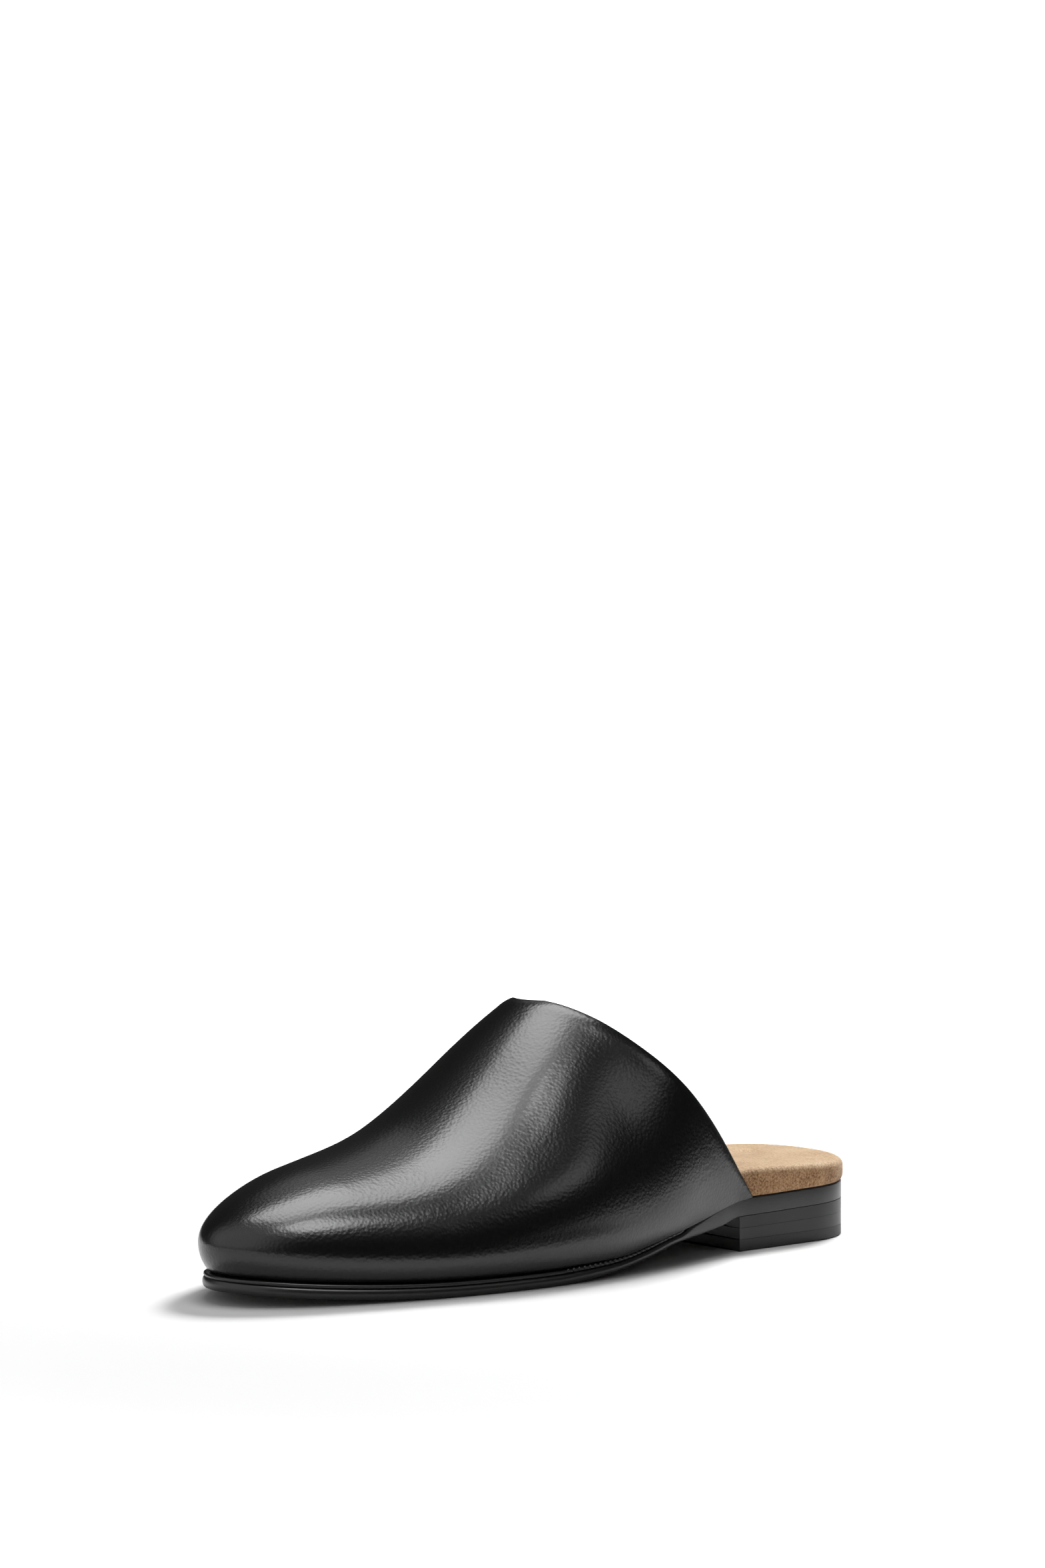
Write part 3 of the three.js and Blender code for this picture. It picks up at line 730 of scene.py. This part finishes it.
def wheel_mark_tree():
    """Rounded ribs set along a line, as the fudge wheel leaves them on a welt."""
    tree = bpy.data.node_groups.new("wheel marks", "GeometryNodeTree")
    tree.is_modifier = True
    ports = {}
    for name, kind in (("Line", "NodeSocketGeometry"), ("Spacing", "NodeSocketFloat"),
                       ("Rib half size", "NodeSocketVector"),
                       ("Material", "NodeSocketMaterial")):
        item = tree.interface.new_socket(name, in_out="INPUT", socket_type=kind)
        ports[name] = item.identifier
    tree.interface.new_socket("Ribs", in_out="OUTPUT", socket_type="NodeSocketGeometry")
    given = node(tree, "NodeGroupInput").outputs
    curve = node(tree, "GeometryNodeMeshToCurve", Mesh=given["Line"])
    points = node(tree, "GeometryNodeCurveToPoints", {"mode": "LENGTH"},
                  Curve=curve.outputs["Curve"], Length=given["Spacing"])
    turned = node(tree, "FunctionNodeAlignRotationToVector", {"axis": "Y"},
                  Vector=points.outputs["Tangent"])
    rib = node(tree, "GeometryNodeMeshUVSphere", Segments=RIB_SIDES, Rings=RIB_RINGS,
               Radius=1.0)
    ribs = node(tree, "GeometryNodeInstanceOnPoints", Points=points.outputs["Points"],
                Instance=rib.outputs["Mesh"], Rotation=turned.outputs["Rotation"],
                Scale=given["Rib half size"])
    real = node(tree, "GeometryNodeRealizeInstances", Geometry=ribs.outputs["Instances"])
    painted = node(tree, "GeometryNodeSetMaterial", Geometry=real.outputs["Geometry"],
                   Material=given["Material"])
    node(tree, "NodeGroupOutput", Ribs=painted.outputs["Geometry"])
    return tree, ports


def make_wheel_marks(material):
    """The ribs stand along both ends of the welt's edge, where the photo shows them."""
    rail = ring(WELT_INSET + MARK_INSET, lambda s: sole_top(s) - MARK_DEPTH)
    marked = (rail[:, 1] > MARK_FROM) & (rail[:, 1] < WELT_LENGTH - WELT_POINT)
    line = bpy.data.meshes.new("welt edge line")
    edges = [(k, k + 1) for k in range(len(rail) - 1) if marked[k] and marked[k + 1]]
    line.from_pydata(((rail + SHIFT) * MM).tolist(), edges, [])
    carrier = bpy.data.objects.new("welt edge line", line)
    bpy.context.scene.collection.objects.link(carrier)
    tree, ports = wheel_mark_tree()
    modifier = carrier.modifiers.new("wheel marks", "NODES")
    modifier.node_group = tree
    modifier[ports["Spacing"]] = MARK_SPACING * MM
    modifier[ports["Rib half size"]] = [size * MM for size in MARK_HALF_SIZE]
    modifier[ports["Material"]] = material
    graph = bpy.context.evaluated_depsgraph_get()
    mesh = bpy.data.meshes.new_from_object(carrier.evaluated_get(graph))
    bpy.data.objects.remove(carrier)
    return finished("welt_wheel_marks", mesh, ())


def heel_plan():
    """The sole's outline behind the breast, closed by the hollow breast line, with the ways
    out. Point k mirrors point -k."""
    outer = OUTLINE[:OUTLINE_STEPS + 1]
    outer = outer[outer[:, 1] > BREAST + CORNER_GAP]
    inner = OUTLINE[OUTLINE_STEPS:]
    inner = inner[inner[:, 1] > BREAST + CORNER_GAP]
    at = np.array(BREAST)
    corners = [np.array((centre_line(at) + side * sole_half(at), BREAST)) for side in (1, -1)]
    across = np.linspace(-1, 1, BREAST_STEPS)[:, None]
    line = blend(corners[0], corners[1], (across + 1) / 2)
    line[:, 1:] += BREAST_HOLLOW * (1 - across ** 2)
    plan = np.concatenate((outer, line, inner))
    along = unit(np.roll(plan, -1, 0) - plan)
    way = np.stack((-along[:, 1], along[:, 0]), -1)
    out = way + np.roll(way, 1, 0)
    out = out / np.maximum(MITRE_LIMIT, (out * way).sum(1, keepdims=True))
    centre = plan.mean(0)
    if ((plan - centre) * out).sum() < 0:
        out = -out
    return plan, out


HEEL_PLAN, HEEL_OUT = heel_plan()


def make_heel_layer(name, low, high, bevels, material, replaced):
    """One layer of the stack, bevelled below and above. A row close to each bevel keeps the
    wall between them flat."""
    def raised(inset, height):
        plan = HEEL_PLAN - HEEL_OUT * inset
        return np.column_stack((plan, at_each(height, plan[:, 1])))

    under, over = bevels
    rings = [raised(under, low)]
    for held in (under, under + BEVEL_HOLD):
        rings.append(raised(0, lambda s: at_each(low, s) + held))
    for held in (over + BEVEL_HOLD, over):
        rings.append(raised(0, lambda s: at_each(high, s) - held))
    rings.append(raised(over, high))
    skin = Skin()
    rows = skin.loft(rings)
    skin.lid(rows[0], rings[0])
    skin.lid(rows[-1], rings[-1])
    return skin.piece(name, (material,), [replaced])


def lift_level(count):
    """How high the stack is with this many lifts on the top piece, read at s."""
    return lambda s: blend(TOP_PIECE, underside(s), count / LIFTS)


def make_insole(material):
    """A padded footbed. It is thin under the upper and a thick rounded pad on the heel seat."""
    def shown(s):
        """0 where the upper covers the footbed and 1 on the open heel seat."""
        return smooth(*PAD_SHOWS, s)

    def edge(s):
        """How far the footbed's edge lies inside the sole's outline."""
        at = np.minimum(s, TOPLINE_REAR)
        inside = tuck_share(at) * TUCK + FOOT_WIDTH + CLEARANCE - out_share(at) * BULGE
        return blend(np.maximum(CLEARANCE, inside), CLEARANCE, shown(s))

    def waver(s):
        """The suede is pulled over the foam by hand, so its side isn't quite even."""
        waves = np.sin(s / RIM_WAVES[0]) + np.sin(s / RIM_WAVES[1] + 1)
        return RIM_WAVER * shown(s) * waves / 2

    def thick(s):
        rising = blend(FOOTBED_THICK, HEEL_PAD_THICK, smooth(*PAD_RISES, s))
        return blend(rising, PAD_TAIL_THICK, smooth(*PAD_FALLS, s))

    def corner(s):
        return np.minimum(PAD_ROUND, thick(s) / 2)

    rings = []
    for up, swell in PAD_PROFILE:
        rings.append(ring(lambda s: edge(s) - swell * (PAD_SWELL * shown(s) + waver(s)),
                          lambda s: sole_top(s) + CLEARANCE + up * (thick(s) - corner(s))))
    for angle in np.linspace(0, math.pi / 2, PAD_ROUND_STEPS):
        rings.append(ring(
            lambda s: (edge(s) - PAD_SWELL * shown(s) - waver(s)
                       + corner(s) * (1 - math.cos(angle))),
            lambda s: (sole_top(s) + CLEARANCE + thick(s)
                       - corner(s) * (1 - math.sin(angle)))))
    skin = Skin()
    rows = skin.loft(rings)
    skin.lid(rows[0], rings[0])

    def crown(points, share):
        away = np.hypot(points[:, 0] - DIMPLE[0], points[:, 1] - DIMPLE[1])
        dent = DIMPLE_DEPTH * hump(away, 0, DIMPLE_REACH)
        fade = shown(points[:, 1]) * smooth(0, CROWN_FADE, rings[-1][0, 1] - points[:, 1])
        return CROWN * fade * (1 - (2 * share - 1) ** 2) - dent

    skin.lid(rows[-1], rings[-1], crown)
    pad = skin.piece("suede_footbed", (material,), ["insole"])
    return pad


# Studio


# Where the paper is painted black for mirrored rays only, as a painted dark reflection: a patch
# beside the shoe, across and along, and the paper from a distance on. In metres
PAINTED_DARK_X, PAINTED_DARK_Y, PAINTED_DARK_AWAY = (0.085, 0.12), (0.05, 0.12), (0.25, 0.55)
FLOOR_HALF, GLOW_FROM, GLOW_FULL = 8.0, 0.2, 0.8


def paper_sweep():
    # Matt white paper off a roll. Past its lit middle it glows, so that it stays as white. In a
    # patch beside the shoe and far away it is painted black for mirrored rays only, so this
    # painted dark reflection shows in the polish of the shoe and nowhere else
    material, tree, shader, place = new_material(
        "White paper sweep", Base_Color=hex_colour("#f6f6f6"), Roughness=0.9,
        Specular_IOR_Level=0.1, Emission_Color=hex_colour("#ffffff"))
    away = node(tree, "ShaderNodeVectorMath", {"operation": "LENGTH"}, i0=place)
    glow = node(tree, "ShaderNodeMapRange", {"interpolation_type": "SMOOTHSTEP"},
                Value=away.outputs["Value"], From_Min=GLOW_FROM, From_Max=GLOW_FULL,
                To_Min=0.0, To_Max=1.0)
    tree.links.new(glow.outputs["Result"], shader.inputs["Emission Strength"])
    apart = node(tree, "ShaderNodeSeparateXYZ", Vector=place)
    beside = node(tree, "ShaderNodeMapRange", {"interpolation_type": "SMOOTHSTEP"},
                  Value=apart.outputs["X"], From_Min=PAINTED_DARK_X[0], From_Max=PAINTED_DARK_X[1])
    before = node(tree, "ShaderNodeMapRange", {"interpolation_type": "SMOOTHSTEP"},
                  Value=apart.outputs["Y"], From_Min=PAINTED_DARK_Y[1], From_Max=PAINTED_DARK_Y[0])
    painted_dark_patch = node(tree, "ShaderNodeMath", {"operation": "MULTIPLY"},
                i0=beside.outputs["Result"], i1=before.outputs["Result"])
    painted_dark_far = node(tree, "ShaderNodeMapRange", {"interpolation_type": "SMOOTHSTEP"},
                Value=away.outputs["Value"], From_Min=PAINTED_DARK_AWAY[0], From_Max=PAINTED_DARK_AWAY[1])
    painted_dark = node(tree, "ShaderNodeMath", {"operation": "MAXIMUM"},
                i0=painted_dark_patch.outputs["Value"], i1=painted_dark_far.outputs["Result"])
    # Painted dark reflection: only mirrored rays see the black
    mirrored = node(tree, "ShaderNodeLightPath").outputs["Is Glossy Ray"]
    shaded = node(tree, "ShaderNodeMath", {"operation": "MULTIPLY"},
                  i0=painted_dark.outputs["Value"], i1=mirrored)
    black = node(tree, "ShaderNodeBsdfDiffuse", Color=hex_colour("#050505"))
    both = node(tree, "ShaderNodeMixShader", Fac=shaded.outputs["Value"],
                i1=shader.outputs["BSDF"], i2=black.outputs["BSDF"])
    tree.links.new(both.outputs["Shader"], tree.nodes["Material Output"].inputs["Surface"])
    return material


def make_floor(material):
    corners = [(x * FLOOR_HALF, y * FLOOR_HALF, 0)
               for x, y in ((-1, -1), (1, -1), (1, 1), (-1, 1))]
    mesh = bpy.data.meshes.new("floor")
    mesh.from_pydata(corners, [], [(0, 1, 2, 3)])
    mesh.materials.append(material)
    floor = bpy.data.objects.new("floor", mesh)
    bpy.context.scene.collection.objects.link(floor)


def direction(azimuth, elevation):
    """The way to a point of the studio's wall, as the camera's own azimuth is counted."""
    turn, tilt = math.radians(azimuth), math.radians(elevation)
    return (math.sin(turn) * math.cos(tilt), -math.cos(turn) * math.cos(tilt), math.sin(tilt))


def softbox(name, place, size, radiance, polish):
    """An area light. One for the polish faces down, and only the polish sees it. The others
    face the shoe, and light only the paper and the suede."""
    data = bpy.data.lights.new(name, "AREA")
    data.shape = "RECTANGLE"
    data.size, data.size_y = size
    data.energy = radiance * math.pi * data.size * data.size_y
    light = bpy.data.objects.new(name, data)
    bpy.context.scene.collection.objects.link(light)
    light.location = place
    light.visible_diffuse, light.visible_glossy = not polish, polish
    if not polish:
        light.rotation_euler = Vector(place).to_track_quat("Z", "Y").to_euler()


# Walls of the studio as the shoe mirrors them: azimuth, elevation, half widths in degrees
# where each is full and where it ends, and its brightness. The rest is nearly dark
STUDIO = ((-5, 27, 25, 65, 0.9), (123, 36, 3, 9, 2.0), (-152, -4, 8, 26, 1.3),
          (-129, 46, 5, 16, 0.5))
STUDIO_DARK = 0.03
# The share of it that lights the paper and the suede, and the white that the camera sees
STUDIO_FILL, BACKDROP = 0.35, 1.1


# Name, place and size in metres, radiance, and whether only the polish sees it
LIGHTS = (
    ("overhead softbox", (-0.20, 0.17, 1.5), (0.82, 0.98), 6.8, True),
    ("softbox over the outer side", (0.78, -0.24, 1.5), (0.74, 0.52), 10.5, True),
    ("small softbox beside it", (0.85, 0.12, 1.5), (0.36, 0.24), 6.0, True),
    ("key light behind the heel", (-0.35, 0.97, 1.23), (0.45, 0.45), 43.0, False),
    ("fill light over the shoe", (0.0, 0.0, 1.6), (0.8, 0.8), 4.4, False),
)


def make_world():
    world = bpy.data.worlds.new("studio")
    bpy.context.scene.world = world
    world.use_nodes = True
    tree = world.node_tree
    tree.nodes.clear()
    looking = node(tree, "ShaderNodeTexCoord").outputs["Generated"]
    total = None
    for azimuth, elevation, full, end, strength in STUDIO:
        near = node(tree, "ShaderNodeVectorMath", {"operation": "DOT_PRODUCT"}, i0=looking,
                    i1=direction(azimuth, elevation))
        part = node(tree, "ShaderNodeMapRange", {"interpolation_type": "SMOOTHSTEP"},
                    Value=near.outputs["Value"], From_Min=math.cos(math.radians(end)),
                    From_Max=math.cos(math.radians(full)), To_Min=0.0, To_Max=strength)
        total = node(tree, "ShaderNodeMath", {"operation": "ADD"}, i0=part.outputs["Result"],
                     i1=STUDIO_DARK if total is None else total).outputs["Value"]
    path = node(tree, "ShaderNodeLightPath").outputs
    low = node(tree, "ShaderNodeMath", {"operation": "MULTIPLY"}, i0=total, i1=STUDIO_FILL)
    thrown = node(tree, "ShaderNodeMix", {"data_type": "FLOAT"}, i0=path["Is Diffuse Ray"],
                  i2=total, i3=low.outputs["Value"])
    strength = node(tree, "ShaderNodeMix", {"data_type": "FLOAT"}, i0=path["Is Camera Ray"],
                    i2=thrown.outputs["Result"], i3=BACKDROP)
    light = node(tree, "ShaderNodeBackground", Color=hex_colour("#ffffff"),
                 Strength=strength.outputs["Result"])
    node(tree, "ShaderNodeOutputWorld", Surface=light.outputs["Background"])


def place_camera():
    """The photo's camera, turned so that the point it aims at falls on its own pixel."""
    data = bpy.data.cameras.new("camera")
    camera = bpy.data.objects.new("camera", data)
    bpy.context.scene.collection.objects.link(camera)
    bpy.context.scene.camera = camera
    data.sensor_width = SENSOR_MM
    data.lens = FOCAL_PIXELS / PHOTO_HEIGHT * SENSOR_MM
    back = np.array((math.sin(AZIMUTH) * math.cos(ELEVATION),
                     -math.cos(AZIMUTH) * math.cos(ELEVATION), math.sin(ELEVATION)))
    camera.location = AIM + DISTANCE * back
    down = math.atan((AIM_PIXEL[1] - PHOTO_HEIGHT / 2) / FOCAL_PIXELS)
    right = math.atan((AIM_PIXEL[0] - PHOTO_WIDTH / 2) / FOCAL_PIXELS)
    camera.rotation_euler = (math.pi / 2 - ELEVATION + down, 0, AZIMUTH + right)


place_camera()
edge_black, stack_black = edge_leather(), stack_leather()
make_upper(box_calf(), lining_calf())
make_insole(suede())
make_outsole(edge_black)
make_welt(edge_black)
make_wheel_marks(edge_black)
make_heel_layer("rubber_top_piece", 0.0, TOP_PIECE, (TREAD_BEVEL, JOINT_BEVEL), top_rubber(),
                "top_piece")
for number in range(1, LIFTS + 1):
    make_heel_layer(f"leather_lift_{number}", lift_level(number - 1), lift_level(number),
                    (JOINT_BEVEL, JOINT_BEVEL), stack_black, f"heel_lift_{number}")
make_floor(paper_sweep())
make_world()
for light in LIGHTS:
    softbox(*light)
bpy.context.scene.view_settings.view_transform = "Standard"
